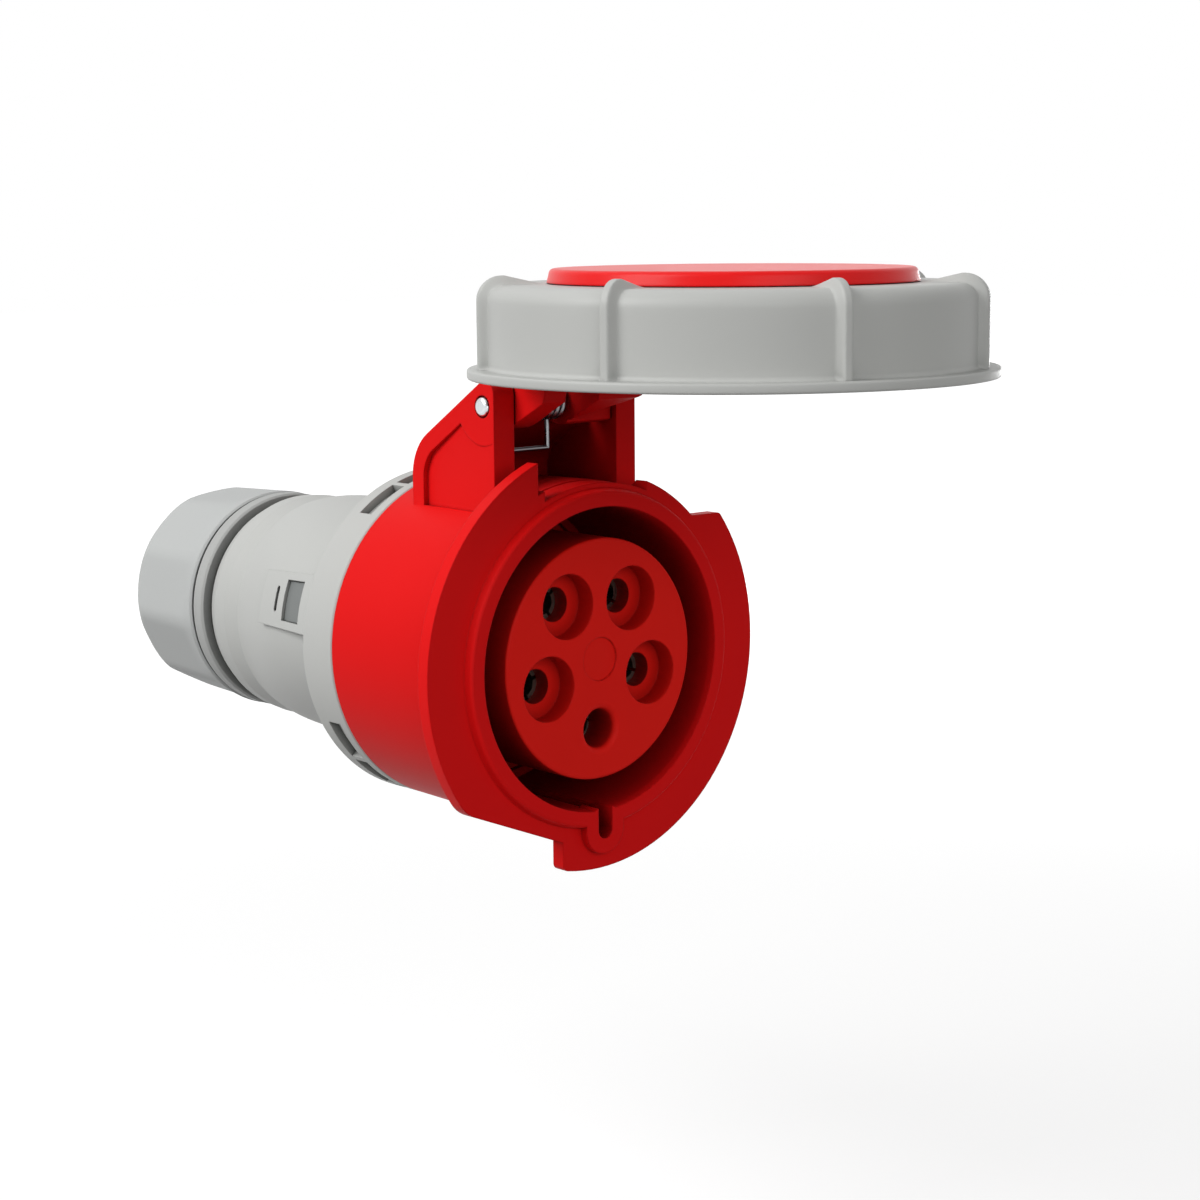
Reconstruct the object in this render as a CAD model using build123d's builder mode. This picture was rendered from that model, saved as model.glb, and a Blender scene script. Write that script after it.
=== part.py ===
"""Five-pole industrial cable connector, 32 A size, with a sprung lid and a bayonet ring.

The frame stands at the centre of the contact carrier's front face.
-Y points out of the mating face, +Y to the cable, +Z up to the hinge.
The lid is modelled open by a right angle. All sizes are in millimetres.
"""
import os
from math import acos, atan2, cos, hypot, radians, sin, tan

from build123d import *

# Clearances and fits
fit_gap = 0.1
running_gap = 0.06
turning_gap = 0.3
seat_gap = 0.2

# Contact carrier
carrier_r = 27.5
carrier_edge_r = 0.6
carrier_flange_t = 4.8
carrier_block_r = 24.0
carrier_block_length = 18.5
pitch_r = 16.0
earth_angle = -90.0
mouth_r = 7.4
mouth_depth = 5.0
phase_throat_r = 3.95
earth_throat_r = 4.45
earth_mouth_round = 1.5
throat_length = 4.2
dish_r = 5.0
dish_depth = 0.5

# Contacts and their screws
phase_pin_r = 3.0
earth_pin_r = 4.0
tube_wall = 1.45
tube_stand = 2.5
socket_depth = 27.0
slit_w = 0.8
slit_length = 15.0
sleeve_start = 3.0
sleeve_length = 6.0
sleeve_wall = 0.35
sleeve_split = 1.0
wire_wall = 0.4
wire_hole_depth = 17.5
screw_r = 2.0
screw_tip = 17.8
screw_neck = 22.0
screw_top = 23.5
screw_head_r = 2.3
screw_slot_w = 0.7
screw_slot_depth = 0.8
first_screw = 6.0
screw_pitch = 6.5

# Front housing
collar_in_r = 34.7
collar_out_r = 38.2
collar_draft = 0.5
collar_round = 0.8
collar_front_y = -1.4
flange_front_y = 0.7
flange_base_r = 42.0
flare_length = 2.4
hinge_gap_r = 39.9
barrel_front_r = 40.1
barrel_rear_r = 39.4
barrel_rear_y = 48.7
barrel_chamfer = 0.35
sleeve_depth = 38.0
shoulder_t = 1.6
shoulder_r = 32.6
ledge_r = 48.6
ledge_t = 3.5
ledge_end_z = 30.0
ledge_top_x = -17.1
ledge_low_x = -11.0
ledge_corner_r = 1.5
chord_distance = 42.0
chord_angle = 248.0
chord_corner_r = 8.0
keyway_w = 4.2
keyway_floor = 41.3
keyway_depth = 5.2
keyway_lip = 3.5
keyway_back_floor = 38.3

# Hinge
hinge_y = 15.0
hinge_z = 57.3
pin_r = 2.0
pin_head_r = 2.2
pin_stand = 0.6
dimple_r = 2.55
dimple_depth = 0.7
ear_in_x = 15.2
ear_out_x = 21.0
ear_front_y = 11.0
ear_back_y = 40.7
ear_top_y = 15.2
ear_top_z = 62.9
ear_back_z = 46.6
ear_root_z = 33.0
ear_front_r = 3.0
ear_top_r = 1.5
ear_back_r = 12.0
roof_front_y = 21.2
roof_drop = 2.2
roof_t = 2.9
roof_foot_z = 36.0
panel_rim = 4.1
panel_slope = 0.05
panel_low_z = 33.7
panel_boss_r = 8.7

# Lid, drawn open
cap_top_z = 82.5
cap_plate_t = 3.6
boss_r = 32.7
tongue_r = 29.0
tongue_w = 2.4
tongue_h = 1.6
skirt_in_r = 40.9
skirt_out_r = 43.6
skirt_clearance = 0.6
cap_hub_r = 9.0
cap_hub_h = 4.0
cap_rib_count = 6
cap_rib_w = 1.8
cap_rib_h = 3.0
seal_in_r = 33.9
seal_out_r = 40.6
seal_groove_w = 2.4
seal_groove_h = 1.6
cover_r = 38.65
cover_draft = 0.7
cover_t = 2.9
cover_edge_r = 1.1

# Lid arms and the spring on the pin
arm_x = ((-14.7, -8.3), (1.5, 14.7))
knuckle_r = 5.3
arm_back_y = 4.2
arm_front_y = -1.1
arm_bend_z = 65.0
arm_low_z = 58.3
arm_low_y = 1.7
arm_inner_z = 68.3
far_arm_slope = 22.0
far_arm_low_z = 53.3
far_arm_cut_y = 12.4
spring_wire_r = 0.55
spring_coil_r = 3.4
spring_start_x = -7.4
spring_end_x = 0.6
spring_turns = 5
spring_foot_z = 46.7
spring_hook_y = 9.5
spring_hook_x = -11.0
notch_w = 2.9
notch_floor = 2.6
notch_reach = 7.2

# Bayonet ring
ring_bottom_z = 65.6
ring_flange_w = 4.1
ring_flange_t = 2.1
ring_edge_r = 0.5
ring_wall_r = 51.3
ring_wall_t = 2.1
ring_top_t = 2.3
ring_shoulder_r = 3.6
ring_inner_round = 1.5
ring_cove_r = 1.0
rib_count = 7
rib_first_angle = -162.0
rib_w = 2.4
rib_stand = 2.1
rib_rise = 1.9
rib_round = 5.2
rib_crest_w = 5.8
rib_end_gap = 0.75
lug_gap = 1.4
lug_t = 2.3
lug_angle = 60.5
lug_half_angle = 9.0

# Rear housing
rear_turn = -14.6
seam_gap = 0.1
spigot_r = 36.4
spigot_wall = 3.0
o_ring_r = 0.75
o_ring_y = 46.2
o_ring_groove_w = 1.9
o_ring_groove_depth = 1.5
rear_collar_r = 39.4
rear_collar_end_y = 60.5
rear_collar_round = 0.8
rear_wall = 2.8
body_stations = ((60.0, 37.4, 30.4), (75.0, 36.0, 30.1), (88.0, 33.2, 29.8), (97.5, 29.9, 29.3), (105.5, 27.9, 27.8))
window_starts = (28.8, 215.0)
window_count = 6
window_pitch = 18.4
window_angle = 16.4
window_front_y = 51.8
window_back_y = 56.3
window_depth = 1.9
pad_half_angle = 10.6
pad_front_r = 39.0
pad_end_r = 35.6
pad_end_y = 84.0
latch_front_y = 63.8
latch_back_y = 72.2
latch_half_angle = 7.6
latch_depth = 1.7
latch_t = 0.8
latch_gap = 0.1
latch_side_gap_angle = 0.2
slot_y = 75.9
slot_w = 1.3
slot_length = 6.2
slot_depth = 2.4
crease_y = 105.0
crease_r = 28.0
crease_lap = 2.5
bulge_y = 110.0
bulge_r = 28.4
bevel_y = 115.0
bevel_r = 28.0
body_end_y = 118.5
body_end_r = 26.6
neck_r = 25.0
neck_end_y = 126.0
thread_r = 24.2
thread_end_y = 141.0
neck_bore_r = 20.6
stop_y = 119.0
stop_t = 3.0
stop_r = 13.0

# Cable gland
cable_r = 10.5
grommet_tail_r = 14.4
grommet_tail_length = 8.0
lock_ring_r = 27.9
lock_ring_front_y = 121.2
lock_ring_t = 4.3
lock_ring_chamfer = 0.5
nut_gap = 0.8
nut_r = 28.1
nut_rear_r = 27.2
nut_cap_length = 13.3
nut_dome_length = 6.0
nut_dome_r = 20.8
nut_band = 3.0
nut_facets = 10
nut_flat_depth = 0.7
nut_facet_turn = 26.5
nut_exit_r = 13.5
nut_exit_length = 3.8
nut_hollow_r = 18.0
nut_hollow_length = 6.0
cage_t = 2.0
cage_r = 23.9
finger_count = 8
finger_in_r = 14.6
finger_out_r = 17.2
finger_length = 7.0
finger_gap_w = 2.2
washer_t = 1.0
washer_in_r = 17.6
washer_out_r = 24.0

os.makedirs("parts", exist_ok=True)

# Places worked out from the sizes above
lid_y = hinge_y - hinge_z
lid_axis = Axis((0, lid_y, 0), (0, 0, 1))
lid_section = Plane.XZ.offset(-lid_y)
closed_sum = hinge_y + hinge_z
carrier_stop_y = sleeve_depth
flange_back_y = carrier_stop_y + carrier_flange_t
block_back_y = flange_back_y + carrier_block_length
tube_front_y = mouth_depth + throat_length
tube_back_y = block_back_y + tube_stand
screw_ys = (flange_back_y + first_screw, flange_back_y + first_screw + screw_pitch)
ledge_back_y = flange_front_y + ledge_t
flare_end_y = ledge_back_y + flare_length
spigot_bore_r = spigot_r + fit_gap
spigot_front_y = flange_back_y + seat_gap
ring_top_z = cap_top_z + seat_gap + ring_top_t
ring_in_r = ring_wall_r - ring_wall_t
ring_flange_r = ring_wall_r + ring_flange_w
rib_r = ring_wall_r + rib_stand
rib_crest_r = rib_r - rib_crest_w
rib_end_r = cover_r + rib_end_gap
lug_in_r = skirt_out_r + lug_gap
cap_r = ring_in_r - lug_gap
cover_z = ring_top_z + seat_gap
cap_low_z = cap_top_z - cap_plate_t
seal_face_z = closed_sum - collar_front_y + turning_gap
skirt_low_z = closed_sum - collar_front_y + skirt_clearance
lock_ring_back_y = lock_ring_front_y + lock_ring_t
nut_front_y = lock_ring_back_y + nut_gap
cage_y = thread_end_y + seat_gap
washer_y = cage_y + cage_t + seat_gap
nut_seat_y = washer_y + washer_t + seat_gap
nut_back_y = nut_seat_y + nut_cap_length
nut_shoulder_y = nut_back_y - nut_dome_length
phase_angles = (198.0, 126.0, 54.0, -18.0)
contact_names = ("contact_l1", "contact_l2", "contact_l3", "contact_neutral", "contact_earth")
contact_angles = phase_angles + (earth_angle,)


def across(y):
    """Plane across the main axis at y, seen from the front: X to the right, Z up."""
    return Plane.XZ.offset(-y)


def lengthwise(angle):
    """Plane through the main axis: local x points out at the angle, local y is +Y."""
    out = (cos(radians(angle)), 0, sin(radians(angle)))
    return Plane((0, 0, 0), x_dir=out, z_dir=(-out[2], 0, out[0]))


def facing_out(angle, y, distance):
    """Plane square to a radius of the main axis, at a distance from the axis."""
    out = (cos(radians(angle)), 0, sin(radians(angle)))
    return Plane((0, y, 0), x_dir=(0, 1, 0), z_dir=out).offset(distance)


def through_lid_axis(angle):
    """Plane through the lid's axis: local x points out at the angle, local y is +Z."""
    out = (cos(radians(angle)), sin(radians(angle)), 0)
    return Plane((0, lid_y, 0), x_dir=out, z_dir=(out[1], -out[0], 0))


def at_pitch(angle):
    """Place of a contact on the pitch circle, in a plane across the main axis."""
    return (pitch_r * cos(radians(angle)), pitch_r * sin(radians(angle)))


def contact_pin_r(name):
    """Radius of the plug's pin that the contact takes."""
    return earth_pin_r if name == "contact_earth" else phase_pin_r


def chord_z(x):
    """Height of the flat that cuts the flange at the lower left, at the side distance x."""
    return (chord_distance - x * cos(radians(chord_angle))) / sin(radians(chord_angle))


def pad_r(y):
    """Distance of the sloping pad face from the main axis."""
    return pad_front_r + (pad_end_r - pad_front_r) * (y - rear_collar_end_y) / (pad_end_y - rear_collar_end_y)


def knuckle_touch(y, z, turn):
    """Point where a line from (y, z) touches the knuckle circle on one side."""
    away_y = y - hinge_y
    away_z = z - hinge_z
    angle = atan2(away_z, away_y) + turn * acos(knuckle_r / hypot(away_y, away_z))
    return (hinge_y + knuckle_r * cos(angle), hinge_z + knuckle_r * sin(angle))


# Front housing: collar, barrel, bayonet flange and hinge ears in one moulding
with BuildPart() as front_housing:
    # Collar, flange base and barrel
    with BuildSketch(Plane.XY):
        Polygon(
            (collar_in_r, collar_front_y),
            (collar_out_r, collar_front_y),
            (collar_out_r + collar_draft, flange_front_y),
            (flange_base_r, flange_front_y),
            (flange_base_r, ledge_back_y),
            (barrel_front_r, flare_end_y),
            (barrel_rear_r, barrel_rear_y),
            (spigot_bore_r, barrel_rear_y),
            (spigot_bore_r, flange_back_y),
            (collar_in_r, flange_back_y),
            (collar_in_r, carrier_stop_y),
            (shoulder_r, carrier_stop_y),
            (shoulder_r, carrier_stop_y - shoulder_t),
            (collar_in_r, carrier_stop_y - shoulder_t),
            align=None,
        )
    revolve(axis=Axis.Y)
    fillet(front_housing.edges().group_by(Axis.Y)[0].sort_by(SortBy.RADIUS)[-1], collar_round)
    chamfer(front_housing.edges().group_by(Axis.Y)[-1].sort_by(SortBy.RADIUS)[-1], barrel_chamfer)

    # Two bayonet ledges, cut off at the hinge and at the lower left
    with BuildSketch(across(flange_front_y)) as ledges:
        Circle(ledge_r)
        Circle(flange_base_r - 1, mode=Mode.SUBTRACT)
        with Locations((ledge_top_x, ledge_end_z)):
            Rectangle(2 * ledge_r, ledge_r, align=(Align.MIN, Align.MIN), mode=Mode.SUBTRACT)
        Polygon(
            (ledge_low_x, chord_z(ledge_low_x)),
            (-ledge_r, chord_z(-ledge_r)),
            (-ledge_r, -ledge_r - 1),
            (ledge_low_x, -ledge_r - 1),
            align=None,
            mode=Mode.SUBTRACT,
        )
        fillet(ledges.vertices().sort_by_distance((ledge_r, ledge_end_z))[0], ledge_corner_r)
        fillet(ledges.vertices().sort_by_distance((ledge_low_x, -ledge_r))[0], ledge_corner_r)
        fillet(ledges.vertices().sort_by_distance((-ledge_r, chord_z(-ledge_r)))[0], chord_corner_r)
    extrude(amount=-ledge_t)

    # Flange base cut away between the ears
    with BuildSketch(across(flange_front_y)):
        with Locations((0, ear_root_z)):
            Rectangle(2 * ear_in_x, flange_base_r, align=(Align.CENTER, Align.MIN))
        Circle(hinge_gap_r, mode=Mode.SUBTRACT)
    extrude(amount=-(flare_end_y - flange_front_y), mode=Mode.SUBTRACT)

    # Hinge ears
    for side in (-1, 1):
        with BuildSketch(Plane.YZ.offset(side * (ear_in_x + ear_out_x) / 2)) as ear:
            Polygon(
                (ear_front_y, ear_root_z),
                (ear_front_y, ear_top_z),
                (ear_top_y, ear_top_z),
                (ear_back_y, ear_back_z),
                (ear_back_y, ear_root_z),
                align=None,
            )
            fillet(ear.vertices().sort_by_distance((ear_front_y, ear_top_z))[0], ear_front_r)
            fillet(ear.vertices().sort_by_distance((ear_top_y, ear_top_z))[0], ear_top_r)
            fillet(ear.vertices().sort_by_distance((ear_back_y, ear_back_z))[0], ear_back_r)
        extrude(amount=(ear_out_x - ear_in_x) / 2, both=True)

    # Roof between the ears, which shuts the hinge off at the rear
    slant = (ear_top_z - ear_back_z) / (ear_back_y - ear_top_y)
    roof_middle = roof_drop + roof_t / 2
    roof_back_y = ear_back_y - roof_middle
    ridge_z = ear_top_z + slant * ear_top_y - roof_middle * hypot(1, slant)
    with BuildSketch(Plane.YZ):
        with BuildLine():
            FilletPolyline(
                (roof_front_y, ridge_z - slant * roof_front_y),
                (roof_back_y, ridge_z - slant * roof_back_y),
                (roof_back_y, roof_foot_z),
                radius=ear_back_r - roof_middle,
            )
        trace(line_width=roof_t)
    extrude(amount=ear_in_x, both=True)

    # Panels that sink into the outer faces of the ears towards the rear
    slant_rim = panel_rim * hypot(1, slant)
    for side in (-1, 1):
        sloping = Plane(
            (side * ear_out_x, ear_front_y, 0),
            x_dir=(-side * panel_slope, 1, 0),
            z_dir=(1, side * panel_slope, 0),
        )
        back = ear_back_y - panel_rim - ear_front_y
        with BuildSketch(sloping) as panel:
            Polygon(
                (0, panel_low_z),
                (0, ear_top_z - slant_rim + slant * (ear_top_y - ear_front_y)),
                (back, ear_top_z - slant_rim - slant * (back + ear_front_y - ear_top_y)),
                (back, panel_low_z),
                align=None,
            )
            fillet(panel.vertices().sort_by_distance((back, ear_back_z))[0], ear_back_r - panel_rim)
            with Locations((hinge_y - ear_front_y, hinge_z)):
                Circle(panel_boss_r, mode=Mode.SUBTRACT)
        extrude(amount=side * 4, mode=Mode.SUBTRACT)

    # Pin holes with a dimple round each pin head
    with BuildSketch(Plane.YZ):
        with Locations((hinge_y, hinge_z)):
            Circle(pin_r + running_gap)
    extrude(amount=ear_out_x + 1, both=True, mode=Mode.SUBTRACT)
    for side in (-1, 1):
        with BuildSketch(Plane.YZ.offset(side * ear_out_x)):
            with Locations((hinge_y, hinge_z)):
                Circle(dimple_r)
        extrude(amount=-side * dimple_depth, mode=Mode.SUBTRACT)

    # Keyway with its raised lip at the bottom of the collar
    with BuildSketch(across(collar_front_y)):
        with Locations((0, -keyway_floor + keyway_w / 2)):
            Circle(keyway_w / 2 + keyway_lip)
            Rectangle(keyway_w + 2 * keyway_lip, 3, align=(Align.CENTER, Align.MIN))
    extrude(amount=-(ledge_back_y - collar_front_y))
    with BuildSketch(across(collar_front_y)):
        with Locations((0, -keyway_floor + keyway_w / 2)):
            Circle(keyway_w / 2)
            Rectangle(keyway_w, 10, align=(Align.CENTER, Align.MIN))
    extrude(amount=-keyway_depth, mode=Mode.SUBTRACT)
    with BuildSketch(across(collar_front_y)):
        with Locations((0, -keyway_back_floor)):
            Rectangle(keyway_w, 8, align=(Align.CENTER, Align.MIN))
    extrude(amount=-(carrier_stop_y - shoulder_t - collar_front_y), mode=Mode.SUBTRACT)

front_housing.part.label = "front_housing"
export_step(front_housing.part, "parts/front_housing.step")


# Contact carrier: the round insert with the five mouths and the terminal block at its rear
with BuildPart() as contact_carrier:
    with BuildSketch(Plane.XY):
        Polygon(
            (0, 0),
            (carrier_r, 0),
            (carrier_r, carrier_stop_y + fit_gap),
            (collar_in_r - fit_gap, carrier_stop_y + fit_gap),
            (collar_in_r - fit_gap, flange_back_y),
            (carrier_block_r, flange_back_y),
            (carrier_block_r, block_back_y),
            (0, block_back_y),
            align=None,
        )
    revolve(axis=Axis.Y)
    fillet(contact_carrier.edges().group_by(Axis.Y)[0], carrier_edge_r)

    # Stepped bore for each contact
    with BuildSketch(across(0)):
        for angle in phase_angles:
            with Locations(at_pitch(angle)):
                Circle(mouth_r)
    extrude(amount=-mouth_depth, mode=Mode.SUBTRACT)
    for name, angle in zip(contact_names, contact_angles):
        throat_r = earth_throat_r if name == "contact_earth" else phase_throat_r
        with BuildSketch(across(0)):
            with Locations(at_pitch(angle)):
                Circle(throat_r)
        extrude(amount=-tube_front_y, mode=Mode.SUBTRACT)
        with BuildSketch(across(tube_front_y)):
            with Locations(at_pitch(angle)):
                Circle(contact_pin_r(name) + tube_wall + fit_gap)
        extrude(amount=-(block_back_y - tube_front_y), mode=Mode.SUBTRACT)
    fillet(
        contact_carrier.edges().group_by(Axis.Y)[0].sort_by_distance((0, 0, -pitch_r - earth_throat_r))[0],
        earth_mouth_round,
    )

    # Screw openings round the terminal block
    for angle in contact_angles:
        for y in screw_ys:
            with BuildSketch(facing_out(angle, y, pitch_r + phase_pin_r)):
                Circle(screw_head_r + fit_gap)
            extrude(amount=carrier_block_r - pitch_r, mode=Mode.SUBTRACT)

    # Shallow dish in the middle of the front face
    with BuildSketch(across(0)):
        Circle(dish_r)
    extrude(amount=-dish_depth, mode=Mode.SUBTRACT)

contact_carrier.part.label = "contact_carrier"
export_step(contact_carrier.part, "parts/contact_carrier.step")


# Contacts: slit sockets with a wire hole and two screw holes at the rear
for name, angle in zip(contact_names, contact_angles):
    socket_r = contact_pin_r(name)
    tube_r = socket_r + tube_wall
    with BuildPart() as contact:
        with BuildSketch(across(tube_front_y)):
            with Locations(at_pitch(angle)):
                Circle(tube_r)
        extrude(amount=-(tube_back_y - tube_front_y))
        with BuildSketch(across(tube_front_y)):
            with Locations(at_pitch(angle)):
                Circle(socket_r)
        extrude(amount=-socket_depth, mode=Mode.SUBTRACT)
        with BuildSketch(across(tube_front_y)):
            with Locations(Location(at_pitch(angle) + (0,), angle)):
                Rectangle(2 * tube_r + 1, slit_w)
                Rectangle(slit_w, 2 * tube_r + 1)
        extrude(amount=-slit_length, mode=Mode.SUBTRACT)
        with BuildSketch(across(tube_front_y + sleeve_start)):
            with Locations(at_pitch(angle)):
                Circle(tube_r + 1)
                Circle(tube_r - sleeve_wall, mode=Mode.SUBTRACT)
        extrude(amount=-sleeve_length - seat_gap, mode=Mode.SUBTRACT)
        with BuildSketch(across(tube_back_y)):
            with Locations(at_pitch(angle)):
                Circle(socket_r - wire_wall)
        extrude(amount=wire_hole_depth, mode=Mode.SUBTRACT)
        for y in screw_ys:
            with BuildSketch(facing_out(angle, y, pitch_r)):
                Circle(screw_r + running_gap)
            extrude(amount=tube_r + 1, mode=Mode.SUBTRACT)
    contact.part.label = name
    export_step(contact.part, f"parts/{name}.step")


# Spring sleeves, one round the slit end of each contact
with BuildPart() as contact_springs:
    for name, angle in zip(contact_names, contact_angles):
        tube_r = contact_pin_r(name) + tube_wall
        with BuildSketch(across(tube_front_y + sleeve_start + seat_gap / 2)):
            with Locations(Location(at_pitch(angle) + (0,), angle)):
                Circle(tube_r)
                Circle(tube_r - sleeve_wall + running_gap, mode=Mode.SUBTRACT)
                Rectangle(tube_r + 1, sleeve_split, align=(Align.MIN, Align.CENTER), mode=Mode.SUBTRACT)
        extrude(amount=-sleeve_length)

contact_springs.part.label = "contact_springs"
export_step(contact_springs.part, "parts/contact_springs.step")


# Terminal screws, two for each contact
with BuildPart() as terminal_screws:
    for angle in contact_angles:
        for y in screw_ys:
            with BuildSketch(facing_out(angle, y, screw_tip)):
                Circle(screw_r)
            extrude(amount=screw_neck - screw_tip)
            with BuildSketch(facing_out(angle, y, screw_neck)):
                Circle(screw_head_r)
            extrude(amount=screw_top - screw_neck)
            with BuildSketch(facing_out(angle, y, screw_top)):
                Rectangle(2 * screw_head_r + 1, screw_slot_w)
            extrude(amount=-screw_slot_depth, mode=Mode.SUBTRACT)

terminal_screws.part.label = "terminal_screws"
export_step(terminal_screws.part, "parts/terminal_screws.step")


# Rear housing: collar, oval body with two pads, round end and threaded neck
with BuildPart() as rear_housing:
    for y, wide, narrow in body_stations:
        with BuildSketch(across(y)):
            Ellipse(wide, narrow, rotation=rear_turn)
    loft()
    with BuildSketch(Plane.XY):
        Polygon(
            (spigot_r - spigot_wall, spigot_front_y),
            (spigot_r, spigot_front_y),
            (spigot_r, o_ring_y - o_ring_groove_w / 2),
            (spigot_r - o_ring_groove_depth, o_ring_y - o_ring_groove_w / 2),
            (spigot_r - o_ring_groove_depth, o_ring_y + o_ring_groove_w / 2),
            (spigot_r, o_ring_y + o_ring_groove_w / 2),
            (spigot_r, barrel_rear_y + seam_gap),
            (rear_collar_r - barrel_chamfer, barrel_rear_y + seam_gap),
            (rear_collar_r, barrel_rear_y + seam_gap + barrel_chamfer),
            (rear_collar_r, rear_collar_end_y),
            (spigot_r - 2 * spigot_wall, rear_collar_end_y),
            (spigot_r - 2 * spigot_wall, rear_collar_end_y - spigot_wall),
            (spigot_r - spigot_wall, rear_collar_end_y - spigot_wall),
            align=None,
        )
    revolve(axis=Axis.Y)
    collar_edge = rear_housing.edges().filter_by(GeomType.CIRCLE).sort_by(SortBy.RADIUS)
    fillet(collar_edge.filter_by(lambda e: abs(e.center().Y - rear_collar_end_y) < 0.01)[-1], rear_collar_round)
    with BuildSketch(Plane.XY):
        Polygon(
            (0, crease_y - crease_lap),
            (crease_r - 1, crease_y - crease_lap),
            (crease_r, crease_y),
            (bulge_r, bulge_y),
            (bevel_r, bevel_y),
            (body_end_r, body_end_y),
            (neck_r, body_end_y),
            (neck_r, neck_end_y),
            (thread_r, neck_end_y),
            (thread_r, thread_end_y),
            (0, thread_end_y),
            align=None,
        )
    revolve(axis=Axis.Y)

    # Raised pads on both long sides of the oval
    for pad_angle in (rear_turn, rear_turn + 180):
        with BuildSketch(lengthwise(pad_angle + pad_half_angle)):
            Polygon(
                (spigot_r - spigot_wall, rear_collar_end_y - 1),
                (pad_r(rear_collar_end_y - 1), rear_collar_end_y - 1),
                (pad_r(pad_end_y), pad_end_y),
                (spigot_r - 2 * spigot_wall, pad_end_y),
                align=None,
            )
        revolve(axis=Axis.Y, revolution_arc=2 * pad_half_angle)

    # Hollow inside
    for y, wide, narrow in body_stations:
        with BuildSketch(across(y - rear_wall if y < rear_collar_end_y else y)):
            Ellipse(wide - rear_wall, narrow - rear_wall, rotation=rear_turn)
    loft(mode=Mode.SUBTRACT)
    with BuildSketch(Plane.XY):
        Polygon(
            (0, crease_y - crease_lap),
            (crease_r - 1 - rear_wall, crease_y - crease_lap),
            (crease_r - rear_wall, crease_y),
            (crease_r - rear_wall, bulge_y + stop_t),
            (stop_r, stop_y - stop_t),
            (stop_r, stop_y),
            (neck_bore_r, stop_y),
            (neck_bore_r, thread_end_y),
            (0, thread_end_y),
            align=None,
        )
    revolve(axis=Axis.Y, mode=Mode.SUBTRACT)

    # Latch window and release slot in each pad
    for pad_angle in (rear_turn, rear_turn + 180):
        with BuildSketch(lengthwise(pad_angle + latch_half_angle)):
            Polygon(
                (pad_r(latch_front_y) - latch_depth, latch_front_y),
                (rear_collar_r + 1, latch_front_y),
                (rear_collar_r + 1, latch_back_y),
                (pad_r(latch_back_y) - latch_depth, latch_back_y),
                align=None,
            )
        revolve(axis=Axis.Y, revolution_arc=2 * latch_half_angle, mode=Mode.SUBTRACT)
        with BuildSketch(facing_out(pad_angle, slot_y, pad_r(slot_y) + 1)):
            SlotOverall(slot_length, slot_w, rotation=90)
        extrude(amount=-slot_depth - 1, mode=Mode.SUBTRACT)

    # Row of blind windows over and under the collar
    for start in window_starts:
        for number in range(window_count):
            with BuildSketch(lengthwise(start + number * window_pitch + window_angle / 2)):
                with Locations((rear_collar_r - window_depth, window_front_y)):
                    Rectangle(window_depth + 1, window_back_y - window_front_y, align=(Align.MIN, Align.MIN))
            revolve(axis=Axis.Y, revolution_arc=window_angle, mode=Mode.SUBTRACT)

rear_housing.part.label = "rear_housing"
export_step(rear_housing.part, "parts/rear_housing.step")


# Latches that show in the windows of the pads
with BuildPart() as housing_latches:
    for pad_angle in (rear_turn, rear_turn + 180):
        with BuildSketch(lengthwise(pad_angle + latch_half_angle - latch_side_gap_angle)):
            Polygon(
                (pad_r(latch_front_y) - latch_depth + latch_gap, latch_front_y + latch_gap),
                (pad_r(latch_front_y) - latch_depth + latch_gap + latch_t, latch_front_y + latch_gap),
                (pad_r(latch_back_y) - latch_depth + latch_gap + latch_t, latch_back_y - latch_gap),
                (pad_r(latch_back_y) - latch_depth + latch_gap, latch_back_y - latch_gap),
                align=None,
            )
        revolve(axis=Axis.Y, revolution_arc=2 * (latch_half_angle - latch_side_gap_angle))

housing_latches.part.label = "housing_latches"
export_step(housing_latches.part, "parts/housing_latches.step")


# Seal ring between the two housings
with BuildPart() as housing_seal:
    with BuildSketch(Plane.XY):
        with Locations((spigot_bore_r - o_ring_r - running_gap, o_ring_y)):
            Circle(o_ring_r)
    revolve(axis=Axis.Y)

housing_seal.part.label = "housing_seal"
export_step(housing_seal.part, "parts/housing_seal.step")


# Lock ring on the neck
with BuildPart() as lock_ring:
    with BuildSketch(Plane.XY) as lock_profile:
        with Locations((neck_r + fit_gap, lock_ring_front_y)):
            Rectangle(lock_ring_r - neck_r - fit_gap, lock_ring_t, align=(Align.MIN, Align.MIN))
        chamfer(lock_profile.vertices().group_by(Axis.X)[-1], lock_ring_chamfer)
    revolve(axis=Axis.Y)

lock_ring.part.label = "lock_ring"
export_step(lock_ring.part, "parts/lock_ring.step")


# Cable grommet with the bore for the cable
with BuildPart() as cable_grommet:
    with BuildSketch(Plane.XY):
        Polygon(
            (cable_r, stop_y + fit_gap),
            (neck_bore_r - fit_gap, stop_y + fit_gap),
            (neck_bore_r - fit_gap, thread_end_y),
            (grommet_tail_r, thread_end_y),
            (grommet_tail_r, thread_end_y + grommet_tail_length),
            (cable_r, thread_end_y + grommet_tail_length),
            align=None,
        )
    revolve(axis=Axis.Y)

cable_grommet.part.label = "cable_grommet"
export_step(cable_grommet.part, "parts/cable_grommet.step")


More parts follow.
